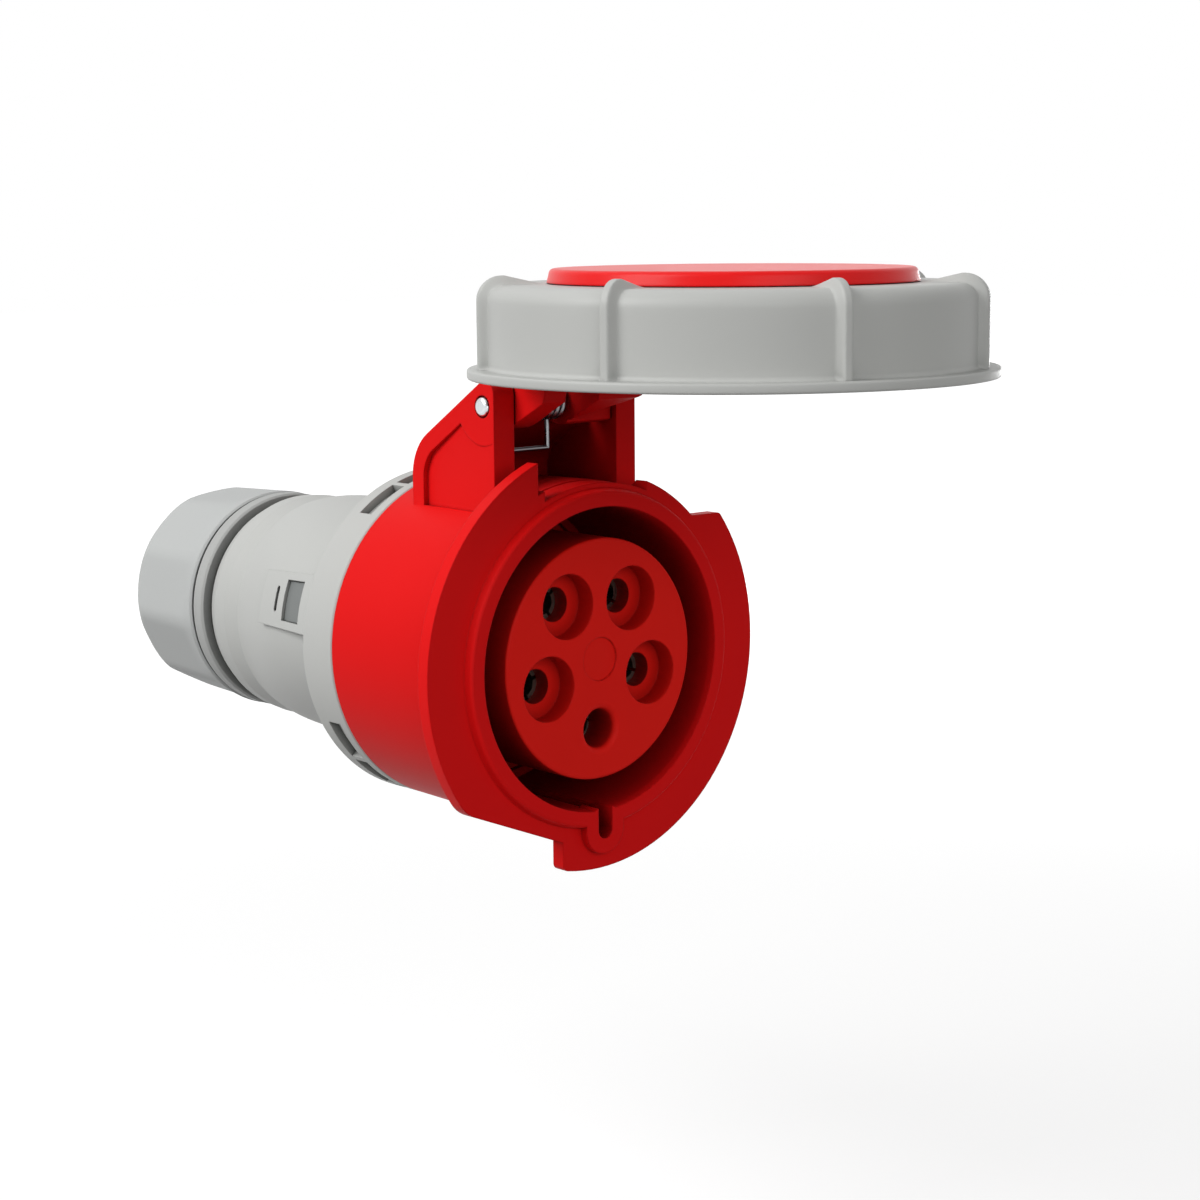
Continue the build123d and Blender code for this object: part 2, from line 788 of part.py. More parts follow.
# Clamping cage with its fingers
with BuildPart() as gland_cage:
    with BuildSketch(across(cage_y)):
        Circle(cage_r)
        Circle(finger_in_r, mode=Mode.SUBTRACT)
    extrude(amount=-cage_t)
    with BuildSketch(across(cage_y + cage_t)):
        Circle(finger_out_r)
        Circle(finger_in_r, mode=Mode.SUBTRACT)
        with PolarLocations(0, finger_count):
            Rectangle(finger_out_r + 1, finger_gap_w, align=(Align.MIN, Align.CENTER), mode=Mode.SUBTRACT)
    extrude(amount=-finger_length)

gland_cage.part.label = "gland_cage"
export_step(gland_cage.part, "parts/gland_cage.step")


# Slip washer between the cage and the nut
with BuildPart() as gland_washer:
    with BuildSketch(across(washer_y)):
        Circle(washer_out_r)
        Circle(washer_in_r, mode=Mode.SUBTRACT)
    extrude(amount=-washer_t)

gland_washer.part.label = "gland_washer"
export_step(gland_washer.part, "parts/gland_washer.step")


# Gland nut with ten flats that follow its cone
with BuildPart() as gland_nut:
    band_y = nut_front_y + nut_band
    nut_slope = (nut_r - nut_rear_r) / (nut_shoulder_y - band_y)
    with BuildSketch(Plane.XY):
        with BuildLine():
            Polyline(
                (nut_dome_r, nut_back_y),
                (nut_exit_r, nut_back_y),
                (nut_exit_r, nut_back_y - nut_exit_length),
                (nut_hollow_r, nut_seat_y + nut_hollow_length),
                (nut_hollow_r, nut_seat_y),
                (thread_r + turning_gap, nut_seat_y),
                (thread_r + turning_gap, nut_front_y),
                (nut_r, nut_front_y),
                (nut_r, band_y),
                (nut_rear_r, nut_shoulder_y),
            )
            TangentArc(
                (nut_rear_r, nut_shoulder_y),
                (nut_dome_r, nut_back_y),
                tangent=(nut_rear_r - nut_r, nut_shoulder_y - band_y),
            )
        make_face()
    revolve(axis=Axis.Y)
    for number in range(nut_facets):
        with BuildSketch(lengthwise(nut_facet_turn + number * 360 / nut_facets)):
            Polygon(
                (nut_r - nut_flat_depth, band_y),
                (nut_r + 1, band_y),
                (nut_r + 1, nut_back_y),
                (nut_r - nut_flat_depth - nut_slope * (nut_back_y - band_y), nut_back_y),
                align=None,
            )
        extrude(amount=nut_r * tan(radians(180 / nut_facets)), both=True, mode=Mode.SUBTRACT)

gland_nut.part.label = "gland_nut"
export_step(gland_nut.part, "parts/gland_nut.step")


# Hinge pin with a rounded head at each end
with BuildPart() as hinge_pin:
    seat_x = ear_out_x - dimple_depth
    with BuildSketch(Plane.YZ):
        with Locations((hinge_y, hinge_z)):
            Circle(pin_r)
    extrude(amount=seat_x + fit_gap / 2, both=True)
    for side in (-1, 1):
        with BuildSketch(Plane.YZ.offset(side * (seat_x + fit_gap / 2))):
            with Locations((hinge_y, hinge_z)):
                Circle(pin_head_r)
        extrude(amount=side * (dimple_depth + pin_stand))
    fillet(hinge_pin.edges().group_by(Axis.X)[0], 1.0)
    fillet(hinge_pin.edges().group_by(Axis.X)[-1], 1.0)

hinge_pin.part.label = "hinge_pin"
export_step(hinge_pin.part, "parts/hinge_pin.step")


# Hinge spring: coil on the pin, hook over the near arm, foot behind the near ear
with BuildPart() as hinge_spring:
    coil_length = spring_end_x - spring_start_x
    hook_corner = (spring_start_x, spring_hook_y, hinge_z + spring_coil_r)
    foot_corner = (spring_end_x, hinge_y + spring_coil_r, spring_foot_z)
    with BuildLine():
        coil = Helix(
            pitch=coil_length / (spring_turns + 0.25),
            height=coil_length,
            radius=spring_coil_r,
            center=(spring_start_x, hinge_y, hinge_z),
            direction=(1, 0, 0),
            lefthand=True,
        )
    with BuildSketch(Plane(coil @ 0, z_dir=coil % 0)):
        Circle(spring_wire_r)
    sweep(is_frenet=True)
    with BuildSketch(across(spring_hook_y)):
        with Locations((spring_start_x, hinge_z + spring_coil_r)):
            Circle(spring_wire_r)
    extrude(amount=-(hinge_y - spring_hook_y))
    with BuildSketch(Plane.YZ.offset(spring_hook_x)):
        with Locations((spring_hook_y, hinge_z + spring_coil_r)):
            Circle(spring_wire_r)
    extrude(amount=spring_start_x - spring_hook_x)
    with BuildSketch(Plane(foot_corner, z_dir=(0, 0, 1))):
        Circle(spring_wire_r)
    extrude(amount=hinge_z - spring_foot_z)
    with BuildSketch(Plane.YZ.offset(-ear_in_x + seat_gap)):
        with Locations((hinge_y + spring_coil_r, spring_foot_z)):
            Circle(spring_wire_r)
    extrude(amount=spring_end_x + ear_in_x - seat_gap)
    with Locations(hook_corner, foot_corner):
        Sphere(spring_wire_r)

hinge_spring.part.label = "hinge_spring"
export_step(hinge_spring.part, "parts/hinge_spring.step")


# Lid cap: plate, boss, skirt, ribs and the two hinge arms
with BuildPart() as lid_cap:
    with BuildSketch(lid_section):
        Polygon(
            (0, cap_low_z),
            (skirt_in_r, cap_low_z),
            (skirt_in_r, skirt_low_z),
            (skirt_out_r, skirt_low_z),
            (skirt_out_r, cap_low_z),
            (cap_r, cap_low_z),
            (cap_r, cap_top_z),
            (boss_r, cap_top_z),
            (boss_r, cover_z - seat_gap / 2),
            (tongue_r + tongue_w / 2 + fit_gap, cover_z - seat_gap / 2),
            (tongue_r + tongue_w / 2 + fit_gap, cover_z - tongue_h - seat_gap),
            (tongue_r - tongue_w / 2 - fit_gap, cover_z - tongue_h - seat_gap),
            (tongue_r - tongue_w / 2 - fit_gap, cover_z - seat_gap / 2),
            (0, cover_z - seat_gap / 2),
            align=None,
        )
    revolve(axis=lid_axis)

    # Hub and ribs under the plate
    with BuildSketch(Plane((0, lid_y, cap_low_z + 1))):
        Circle(cap_hub_r)
    extrude(amount=-cap_hub_h - 1)
    with BuildSketch(Plane((0, lid_y, cap_low_z + 1))):
        with PolarLocations(0, cap_rib_count, start_angle=30):
            Rectangle(seal_in_r - turning_gap, cap_rib_w, align=(Align.MIN, Align.CENTER))
    extrude(amount=-cap_rib_h - 1)

    # Arms from the plate to the knuckles on the pin
    for start_x, end_x in arm_x:
        with BuildSketch(Plane.YZ.offset(start_x)):
            with Locations((hinge_y, hinge_z)):
                Circle(knuckle_r)
            Polygon(
                (hinge_y, hinge_z),
                knuckle_touch(arm_back_y, arm_bend_z, -1),
                (arm_back_y, arm_bend_z),
                (arm_back_y, cap_low_z + 1),
                (arm_front_y, cap_low_z + 1),
                (arm_front_y, arm_inner_z),
                (arm_low_y, arm_low_z),
                knuckle_touch(arm_low_y, arm_low_z, 1),
                align=None,
            )
        extrude(amount=end_x - start_x)
    with BuildSketch(Plane.YZ):
        with Locations((hinge_y, hinge_z)):
            Circle(pin_r + running_gap)
    extrude(amount=ear_in_x, both=True, mode=Mode.SUBTRACT)

    # Slanting underside of the far arm
    far_start, far_end = arm_x[1]
    with BuildSketch(across(arm_front_y - 1)):
        Polygon(
            (far_start - 1, hinge_z - 2 * knuckle_r),
            (far_end + 1, hinge_z - 2 * knuckle_r),
            (far_end + 1, far_arm_low_z + (far_end + 1 - far_start) * tan(radians(far_arm_slope))),
            (far_start, far_arm_low_z),
            (far_start - 1, far_arm_low_z),
            align=None,
        )
    extrude(amount=-(far_arm_cut_y - arm_front_y + 1), mode=Mode.SUBTRACT)

    # Notch in the near arm for the hook of the spring
    with BuildSketch(Plane.YZ.offset(arm_x[0][1] - notch_w)):
        with Locations((hinge_y - notch_reach, hinge_z + notch_floor)):
            Rectangle(notch_reach + 3, 6, align=(Align.MIN, Align.MIN))
        with Locations((hinge_y, hinge_z)):
            Circle(knuckle_r, mode=Mode.SUBTRACT)
    extrude(amount=notch_w + 1, mode=Mode.SUBTRACT)

lid_cap.part.label = "lid_cap"
export_step(lid_cap.part, "parts/lid_cap.step")


# Lid cover disc, which holds the bayonet ring on the cap
with BuildPart() as lid_cover:
    with BuildSketch(lid_section) as cover_profile:
        Polygon(
            (0, cover_z),
            (cover_r, cover_z),
            (cover_r - cover_draft, cover_z + cover_t),
            (0, cover_z + cover_t),
            align=None,
        )
        fillet(cover_profile.vertices().sort_by_distance((cover_r, cover_z + cover_t))[0], cover_edge_r)
    revolve(axis=lid_axis)
    with BuildSketch(Plane((0, lid_y, cover_z))):
        Circle(tongue_r + tongue_w / 2)
        Circle(tongue_r - tongue_w / 2, mode=Mode.SUBTRACT)
    extrude(amount=-tongue_h)

lid_cover.part.label = "lid_cover"
export_step(lid_cover.part, "parts/lid_cover.step")


# Lid seal that meets the collar when the lid is shut
with BuildPart() as lid_seal:
    seal_top_z = cap_low_z - fit_gap
    seal_middle = (seal_in_r + seal_out_r) / 2
    with BuildSketch(lid_section):
        Polygon(
            (seal_in_r, seal_face_z),
            (seal_out_r, seal_face_z),
            (seal_out_r, seal_top_z),
            (seal_middle + seal_groove_w / 2, seal_top_z),
            (seal_middle + seal_groove_w / 2, seal_top_z - seal_groove_h),
            (seal_middle - seal_groove_w / 2, seal_top_z - seal_groove_h),
            (seal_middle - seal_groove_w / 2, seal_top_z),
            (seal_in_r, seal_top_z),
            align=None,
        )
    revolve(axis=lid_axis)

lid_seal.part.label = "lid_seal"
export_step(lid_seal.part, "parts/lid_seal.step")


# Bayonet ring with seven grip ribs and two locking lugs
with BuildPart() as bayonet_ring:
    with BuildSketch(lid_section) as ring_profile:
        Polygon(
            (ring_in_r, ring_bottom_z),
            (ring_flange_r, ring_bottom_z),
            (ring_flange_r, ring_bottom_z + ring_flange_t),
            (ring_wall_r, ring_bottom_z + ring_flange_t),
            (ring_wall_r, ring_top_z),
            (boss_r + turning_gap, ring_top_z),
            (boss_r + turning_gap, ring_top_z - ring_top_t),
            (ring_in_r, ring_top_z - ring_top_t),
            align=None,
        )
        corners = ring_profile.vertices()
        fillet(corners.sort_by_distance((ring_wall_r, ring_top_z))[0], ring_shoulder_r)
        fillet(corners.sort_by_distance((ring_in_r, ring_top_z - ring_top_t))[0], ring_inner_round)
        fillet(corners.sort_by_distance((ring_wall_r, ring_bottom_z + ring_flange_t))[0], ring_cove_r)
        fillet(corners.sort_by_distance((ring_flange_r, ring_bottom_z))[0], ring_edge_r)
        fillet(corners.sort_by_distance((ring_flange_r, ring_bottom_z + ring_flange_t))[0], ring_edge_r)
    revolve(axis=lid_axis)

    # Grip ribs over the wall and the shoulder
    rib_top_z = ring_top_z + rib_rise
    for number in range(rib_count):
        with BuildSketch(through_lid_axis(rib_first_angle + number * 360 / rib_count)) as rib:
            Polygon(
                (ring_wall_r - ring_wall_t / 2, ring_bottom_z + ring_flange_t / 2),
                (rib_r, ring_bottom_z + ring_flange_t / 2),
                (rib_r, rib_top_z),
                (rib_crest_r, rib_top_z),
                (rib_end_r, ring_top_z),
                (rib_end_r, ring_top_z - ring_top_t / 2),
                (ring_wall_r - ring_shoulder_r, ring_top_z - ring_top_t / 2),
                (ring_wall_r - ring_wall_t / 2, ring_top_z - ring_shoulder_r),
                align=None,
            )
            fillet(rib.vertices().sort_by_distance((rib_r, rib_top_z))[0], rib_round)
        extrude(amount=rib_w / 2, both=True)

    # Lugs that run behind the ledges
    for start in (lug_angle - lug_half_angle, lug_angle - lug_half_angle + 180):
        with BuildSketch(through_lid_axis(start)):
            with Locations((lug_in_r, ring_bottom_z)):
                Rectangle(ring_in_r - lug_in_r + ring_wall_t / 2, lug_t, align=(Align.MIN, Align.MIN))
        revolve(axis=lid_axis, revolution_arc=2 * lug_half_angle)

bayonet_ring.part.label = "bayonet_ring"
export_step(bayonet_ring.part, "parts/bayonet_ring.step")
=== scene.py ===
"""Looks of a five-pole industrial cable connector with a hinged lid and a bayonet ring.

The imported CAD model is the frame. It gets moulded, plated and rubber finishes,
and two turned pieces with soft grips take the place of their plain solids.
"""
import logging
import math
from dataclasses import dataclass
from enum import Enum
from typing import Callable, Iterable, Sequence

import bpy
from mathutils import Matrix, Vector


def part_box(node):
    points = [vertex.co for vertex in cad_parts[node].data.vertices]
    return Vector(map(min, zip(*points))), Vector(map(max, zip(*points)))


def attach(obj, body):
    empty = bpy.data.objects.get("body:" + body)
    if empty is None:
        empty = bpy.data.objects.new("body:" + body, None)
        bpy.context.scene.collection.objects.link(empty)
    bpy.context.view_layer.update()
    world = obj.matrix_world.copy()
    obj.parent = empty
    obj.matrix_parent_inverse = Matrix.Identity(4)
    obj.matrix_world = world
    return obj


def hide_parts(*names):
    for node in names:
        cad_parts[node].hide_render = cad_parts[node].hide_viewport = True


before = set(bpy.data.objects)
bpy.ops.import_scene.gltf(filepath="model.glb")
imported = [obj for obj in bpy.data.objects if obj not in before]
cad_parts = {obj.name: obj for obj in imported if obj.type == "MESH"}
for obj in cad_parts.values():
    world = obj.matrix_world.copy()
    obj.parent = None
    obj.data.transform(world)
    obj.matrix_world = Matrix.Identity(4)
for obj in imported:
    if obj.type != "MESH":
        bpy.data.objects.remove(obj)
LOG = logging.getLogger("connector")

MM = 0.001
MM_PER_METRE = 1000
IMAGE_PIXELS = 1200
WELD_MM = 0.002
WHITE = (1.0, 1.0, 1.0, 1.0)
Point = tuple[float, float]


class Body(Enum):
    """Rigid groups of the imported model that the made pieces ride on."""

    RING = "ring"
    NUT = "nut"


class Turn(Enum):
    """Axis that a turned piece is repeated about."""

    ALONG_Y = "y"
    ALONG_Z = "z"


def linear(hex_colour: str) -> tuple[float, float, float, float]:
    """Turn an sRGB hex colour into the linear values that shaders take.

    Args:
        hex_colour: Six hex digits after a hash sign.

    Returns:
        Linear red, green and blue with an alpha of one.
    """
    values = [int(hex_colour[i:i + 2], 16) / 255 for i in (1, 3, 5)]
    curve = [v / 12.92 if v <= 0.04045 else ((v + 0.055) / 1.055) ** 2.4 for v in values]
    return (*curve, 1.0)


def add_node(tree: bpy.types.NodeTree, kind: str, links: dict | None = None, values: dict | None = None,
             **settings: object) -> bpy.types.Node:
    """Add one node to a tree, set it and link it.

    Args:
        tree: Shader or geometry tree.
        kind: Blender's name of the node type.
        links: Input name or index to the output socket that feeds it.
        values: Input name or index to a constant.
        **settings: Properties of the node itself.

    Returns:
        The new node.
    """
    node = tree.nodes.new(kind)
    for key, value in settings.items():
        setattr(node, key, value)
    for key, value in (values or {}).items():
        node.inputs[key].default_value = value
    for key, socket in (links or {}).items():
        tree.links.new(socket, node.inputs[key])
    return node


def empty_material(name: str) -> tuple[bpy.types.Material, bpy.types.NodeTree]:
    """Start a material with an empty node tree.

    Args:
        name: Name of the material.

    Returns:
        The material and its tree.
    """
    material = bpy.data.materials.new(name)
    material.use_nodes = True
    material.node_tree.nodes.clear()
    return material, material.node_tree


# Finishes

POLYAMIDE_IOR = 1.53
RUBBER_IOR = 1.52
# Samples of the occlusion that paints shade into recesses
PAINTED_SHADE_SAMPLES = 6
EDGE_SAMPLES = 4


@dataclass(frozen=True)
class MouldedPlastic:
    """Injection-moulded plastic: even colour, a broad soft gloss and a fine grain from the sparked mould.

    Lengths are in mm. Recesses get painted shade: the colour falls to its shade level where the open share of
    the sky over a point is at hidden_at or less, and is whole from open_at on.
    """

    name: str
    colour: str
    shade: str
    roughness: float
    specular: float
    grain_mm: float
    grain_depth_mm: float
    flow_mm: float
    edge_mm: float = 0.35
    # Reach of the painted shade into recesses
    painted_shade_reach_mm: float = 14.0
    # Painted shade: share of the colour left in the deepest recesses
    painted_shade_level: float = 0.12
    hidden_at: float = 0.12
    open_at: float = 0.62
    gloss_spread: float = 0.12
    grain_strength: float = 0.35
    flow_roughness: float = 0.45
    grain_detail: float = 3.0
    grain_roughness: float = 0.6

    def build(self) -> bpy.types.Material:
        """Build the plastic with flow clouds, painted shade in recesses, grain and small edge rounds.

        Returns:
            The material.
        """
        material, tree = empty_material(self.name)
        place = add_node(tree, "ShaderNodeTexCoord").outputs["Object"]
        flow = add_node(tree, "ShaderNodeTexNoise", {"Vector": place},
                        {"Scale": MM_PER_METRE / self.flow_mm, "Roughness": self.flow_roughness})
        tint = add_node(tree, "ShaderNodeMix", {0: flow.outputs["Fac"]},
                        {6: linear(self.colour), 7: linear(self.shade)}, data_type="RGBA")
        # Painted shade: the colour is darkened where ambient occlusion finds the point shut in by nearby
        # faces
        sky = add_node(tree, "ShaderNodeAmbientOcclusion", None, {"Distance": self.painted_shade_reach_mm * MM},
                       samples=PAINTED_SHADE_SAMPLES)
        painted_shade_factor = add_node(tree, "ShaderNodeMapRange", {"Value": sky.outputs["AO"]},
                         {"From Min": self.hidden_at, "From Max": self.open_at,
                          "To Min": self.painted_shade_level, "To Max": 1.0})
        shaded_tint = add_node(tree, "ShaderNodeVectorMath", {0: tint.outputs[2], "Scale": painted_shade_factor.outputs[0]},
                        operation="SCALE")
        # The real grain is about 0.05 mm wide, so it is drawn seven to ten times as coarse to show
        grain = add_node(tree, "ShaderNodeTexNoise", {"Vector": place},
                         {"Scale": MM_PER_METRE / self.grain_mm, "Detail": self.grain_detail,
                          "Roughness": self.grain_roughness})
        gloss = add_node(tree, "ShaderNodeMapRange", {"Value": grain.outputs["Fac"]},
                         {"To Min": self.roughness * (1 - self.gloss_spread),
                          "To Max": self.roughness * (1 + self.gloss_spread)})
        edges = add_node(tree, "ShaderNodeBevel", None, {"Radius": self.edge_mm * MM}, samples=EDGE_SAMPLES)
        bump = add_node(tree, "ShaderNodeBump",
                        {"Height": grain.outputs["Fac"], "Normal": edges.outputs[0]},
                        {"Strength": self.grain_strength, "Distance": self.grain_depth_mm * MM})
        shader = add_node(tree, "ShaderNodeBsdfPrincipled",
                          {"Base Color": shaded_tint.outputs[0], "Roughness": gloss.outputs[0],
                           "Normal": bump.outputs[0]},
                          {"IOR": POLYAMIDE_IOR, "Specular IOR Level": self.specular})
        add_node(tree, "ShaderNodeOutputMaterial", {"Surface": shader.outputs[0]})
        return material


@dataclass(frozen=True)
class PlatedMetal:
    """Plated or drawn metal: bright, with a fine tooth from the tool and duller clouds.

    Lengths are in mm. The metal is brightest where a cloud is at bright_at or less, and
    dullest from dull_at on.
    """

    name: str
    colour: str
    roughness: float
    tooth_mm: float
    cloud_mm: float
    tooth_depth_mm: float = 0.01
    tooth_strength: float = 0.25
    bright_at: float = 0.3
    dull_at: float = 0.7
    brightest: float = 0.8
    dullest: float = 1.3

    def build(self) -> bpy.types.Material:
        """Build the metal with its tooth and clouds.

        Returns:
            The material.
        """
        material, tree = empty_material(self.name)
        place = add_node(tree, "ShaderNodeTexCoord").outputs["Object"]
        # Real tool marks are about 0.05 mm wide, so they are drawn six to ten times as coarse to show
        tooth = add_node(tree, "ShaderNodeTexNoise", {"Vector": place},
                         {"Scale": MM_PER_METRE / self.tooth_mm})
        clouds = add_node(tree, "ShaderNodeTexNoise", {"Vector": place},
                          {"Scale": MM_PER_METRE / self.cloud_mm})
        gloss = add_node(tree, "ShaderNodeMapRange", {"Value": clouds.outputs["Fac"]},
                         {"From Min": self.bright_at, "From Max": self.dull_at,
                          "To Min": self.roughness * self.brightest,
                          "To Max": self.roughness * self.dullest})
        bump = add_node(tree, "ShaderNodeBump", {"Height": tooth.outputs["Fac"]},
                        {"Strength": self.tooth_strength, "Distance": self.tooth_depth_mm * MM})
        shader = add_node(tree, "ShaderNodeBsdfPrincipled",
                          {"Roughness": gloss.outputs[0], "Normal": bump.outputs[0]},
                          {"Base Color": linear(self.colour), "Metallic": 1.0})
        add_node(tree, "ShaderNodeOutputMaterial", {"Surface": shader.outputs[0]})
        return material


@dataclass(frozen=True)
class MouldedRubber:
    """Moulded rubber: nearly black, matt, with a dusty bloom in clouds, and lengths in mm."""

    name: str
    colour: str
    bloom: str
    roughness: float = 0.7
    bloom_mm: float = 11.0
    bloom_detail: float = 3.0
    tooth_mm: float = 0.4
    tooth_depth_mm: float = 0.03
    tooth_strength: float = 0.3

    def build(self) -> bpy.types.Material:
        """Build the rubber with its bloom and a fine tooth.

        Returns:
            The material.
        """
        material, tree = empty_material(self.name)
        place = add_node(tree, "ShaderNodeTexCoord").outputs["Object"]
        bloom = add_node(tree, "ShaderNodeTexNoise", {"Vector": place},
                         {"Scale": MM_PER_METRE / self.bloom_mm, "Detail": self.bloom_detail})
        tint = add_node(tree, "ShaderNodeMix", {0: bloom.outputs["Fac"]},
                        {6: linear(self.colour), 7: linear(self.bloom)}, data_type="RGBA")
        # The real tooth is about 0.05 mm wide, so it is drawn eight times as coarse to show
        tooth = add_node(tree, "ShaderNodeTexNoise", {"Vector": place},
                         {"Scale": MM_PER_METRE / self.tooth_mm})
        bump = add_node(tree, "ShaderNodeBump", {"Height": tooth.outputs["Fac"]},
                        {"Strength": self.tooth_strength, "Distance": self.tooth_depth_mm * MM})
        shader = add_node(tree, "ShaderNodeBsdfPrincipled",
                          {"Base Color": tint.outputs[2], "Normal": bump.outputs[0]},
                          {"Roughness": self.roughness, "IOR": RUBBER_IOR})
        add_node(tree, "ShaderNodeOutputMaterial", {"Surface": shader.outputs[0]})
        return material


# Glass-filled polyamide off a polished tool: a strong even red with a soft wide sheen, and painted shade
# reaching 20 mm into its recesses
RED_HOUSING = MouldedPlastic("red_polyamide_glossy", "#e71617", "#e01516", roughness=0.46, specular=0.05,
                             grain_mm=0.35, grain_depth_mm=0.02, flow_mm=38.0, edge_mm=0.6, painted_shade_reach_mm=20.0)
# The disc is polished in its tool, so it mirrors the surroundings where it is seen at a low angle
RED_COVER = MouldedPlastic("red_polyamide_polished_disc", "#e71617", "#e01516", roughness=0.32,
                           specular=0.16, grain_mm=0.35, grain_depth_mm=0.01, flow_mm=38.0, edge_mm=0.6)
# The same resin off a plainer tool: matter and a touch lighter, as the insert stands in the collar's shade
RED_INSERT = MouldedPlastic("red_polyamide_insert", "#f01e16", "#e81c14", roughness=0.50, specular=0.08,
                            grain_mm=0.4, grain_depth_mm=0.02, flow_mm=30.0, edge_mm=0.5)
# Grey polyamide with a spark-eroded skin: light spreads wide, and no edge of a lamp shows in it
GREY_HOUSING = MouldedPlastic("grey_polyamide_satin", "#c1c2bf", "#bcbdba", roughness=0.48, specular=0.25,
                              grain_mm=0.45, grain_depth_mm=0.03, flow_mm=40.0)
# The ring off its own tool: the same grey with a little more sheen where fingers grip it
GREY_RING = MouldedPlastic("grey_polyamide_ring", "#bbbcb9", "#b6b7b4", roughness=0.46, specular=0.25,
                           grain_mm=0.45, grain_depth_mm=0.03, flow_mm=40.0)
# The nut is a cooler batch and the mattest of the greys
GREY_NUT = MouldedPlastic("pale_grey_polyamide_nut", "#bdbfbe", "#b8bab9", roughness=0.52, specular=0.22,
                          grain_mm=0.5, grain_depth_mm=0.03, flow_mm=36.0)
# Acetal of the lock ring and the washer: waxy, slightly darker grey
GREY_LOCK = MouldedPlastic("grey_acetal_lock_ring", "#b0b1af", "#abacaa", roughness=0.5, specular=0.30,
                           grain_mm=0.5, grain_depth_mm=0.03, flow_mm=30.0)
# Darker grey acetal of the latches, which read as small shaded plates in their windows
GREY_LATCH = MouldedPlastic("dark_grey_acetal_latch", "#7b7e7d", "#767978", roughness=0.5, specular=0.30,
                            grain_mm=0.5, grain_depth_mm=0.02, flow_mm=12.0, edge_mm=0.15)
# Natural white acetal of the clamping cage: bright and slightly waxy
WHITE_CAGE = MouldedPlastic("white_acetal_cage", "#dedfdc", "#d8d9d6", roughness=0.45, specular=0.35,
                            grain_mm=0.5, grain_depth_mm=0.03, flow_mm=30.0)
# Nickel over turned brass: a warm gleam broken by fine tool marks, its colour lowered to grey as painted
# shade deep in the holes
NICKEL_CONTACT = PlatedMetal("nickel_plated_brass", "#9a9488", roughness=0.30, tooth_mm=0.5, cloud_mm=8.0)
# Zinc over steel: cooler and lighter than the nickel
ZINC_SCREW = PlatedMetal("zinc_plated_steel", "#c9ccd0", roughness=0.32, tooth_mm=0.4, cloud_mm=5.0)
# Polished steel pin: the brightest spot of the hinge
BRIGHT_PIN = PlatedMetal("bright_steel_pin", "#cfd3d6", roughness=0.22, tooth_mm=0.4, cloud_mm=6.0)
# Drawn spring wire: a cool gleam along each turn
DRAWN_WIRE = PlatedMetal("drawn_spring_wire", "#85878a", roughness=0.32, tooth_mm=0.3, cloud_mm=4.0)
# Nitrile rubber: nearly black, matt, with a faint dusty bloom
SEAL_RUBBER = MouldedRubber("nitrile_rubber_seal", "#17171a", "#232326")


# Meshes


def shade(obj: bpy.types.Object, angle: float = 32.0) -> bpy.types.Object:
    """Smooth a made piece's faces, keeping its edges sharper than an angle.

    Args:
        obj: Mesh object.
        angle: Largest smooth angle in degrees.

    Returns:
        The same object.
    """
    obj.data.shade_smooth()
    obj.data.set_sharp_from_angle(angle=math.radians(angle))
    return obj


def arc(centre: Point, radius: float, start: float, end: float, steps: int) -> list[Point]:
    """Points along an arc in a section.

    Args:
        centre: Middle of the arc.
        radius: Its radius.
        start: First angle in degrees.
        end: Last angle in degrees.
        steps: Number of runs along it.

    Returns:
        The points, both ends included.
    """
    angles = [math.radians(start + (end - start) * i / steps) for i in range(steps + 1)]
    return [(centre[0] + radius * math.cos(a), centre[1] + radius * math.sin(a)) for a in angles]


def run(start: Point, end: Point, steps: int) -> list[Point]:
    """Points along a straight run in a section, both ends included."""
    return [(start[0] + (end[0] - start[0]) * i / steps, start[1] + (end[1] - start[1]) * i / steps)
            for i in range(steps + 1)]


def ease(x: float) -> float:
    """Smooth step from nought to one."""
    x = min(1.0, max(0.0, x))
    return x * x * (3 - 2 * x)


def soft_least(a: float, b: float, softness: float) -> float:
    """Take the smaller of two radii, with a soft change from one to the other.

    Args:
        a: First radius in mm.
        b: Second radius in mm.
        softness: Reach of the change in mm.

    Returns:
        The smaller radius, a little less where both are alike.
    """
    apart = abs(a - b)
    return min(a, b) - softness * math.log1p(math.exp(-apart / softness))


def sector_mesh(name: str, turn: Turn, angles: Sequence[float],
                section: Callable[[float], list[Point]]) -> bpy.types.Object:
    """Build one repeat of a turned piece from a section that may change with the angle.

    Args:
        name: Name of the object.
        turn: Axis that the section turns about.
        angles: Angles of the columns in degrees, rising.
        section: Gives the closed section's points, in mm from the axis and along it.

    Returns:
        A new object, in metres, with its axis through the origin.
    """
    vertices: list[tuple[float, float, float]] = []
    faces: list[tuple[int, int, int, int]] = []
    for angle in angles:
        a = math.radians(angle)
        for r, h in section(angle):
            if turn is Turn.ALONG_Z:
                vertices.append((r * math.cos(a) * MM, r * math.sin(a) * MM, h * MM))
            else:
                vertices.append((r * math.cos(a) * MM, h * MM, r * math.sin(a) * MM))
    count = len(vertices) // len(angles)
    for i in range(len(angles) - 1):
        for j in range(count):
            k = (j + 1) % count
            quad = (i * count + j, i * count + k, (i + 1) * count + k, (i + 1) * count + j)
            faces.append(quad if turn is Turn.ALONG_Y else tuple(reversed(quad)))
    mesh = bpy.data.meshes.new(name)
    mesh.from_pydata(vertices, [], faces)
    obj = bpy.data.objects.new(name, mesh)
    bpy.context.scene.collection.objects.link(obj)
    return obj


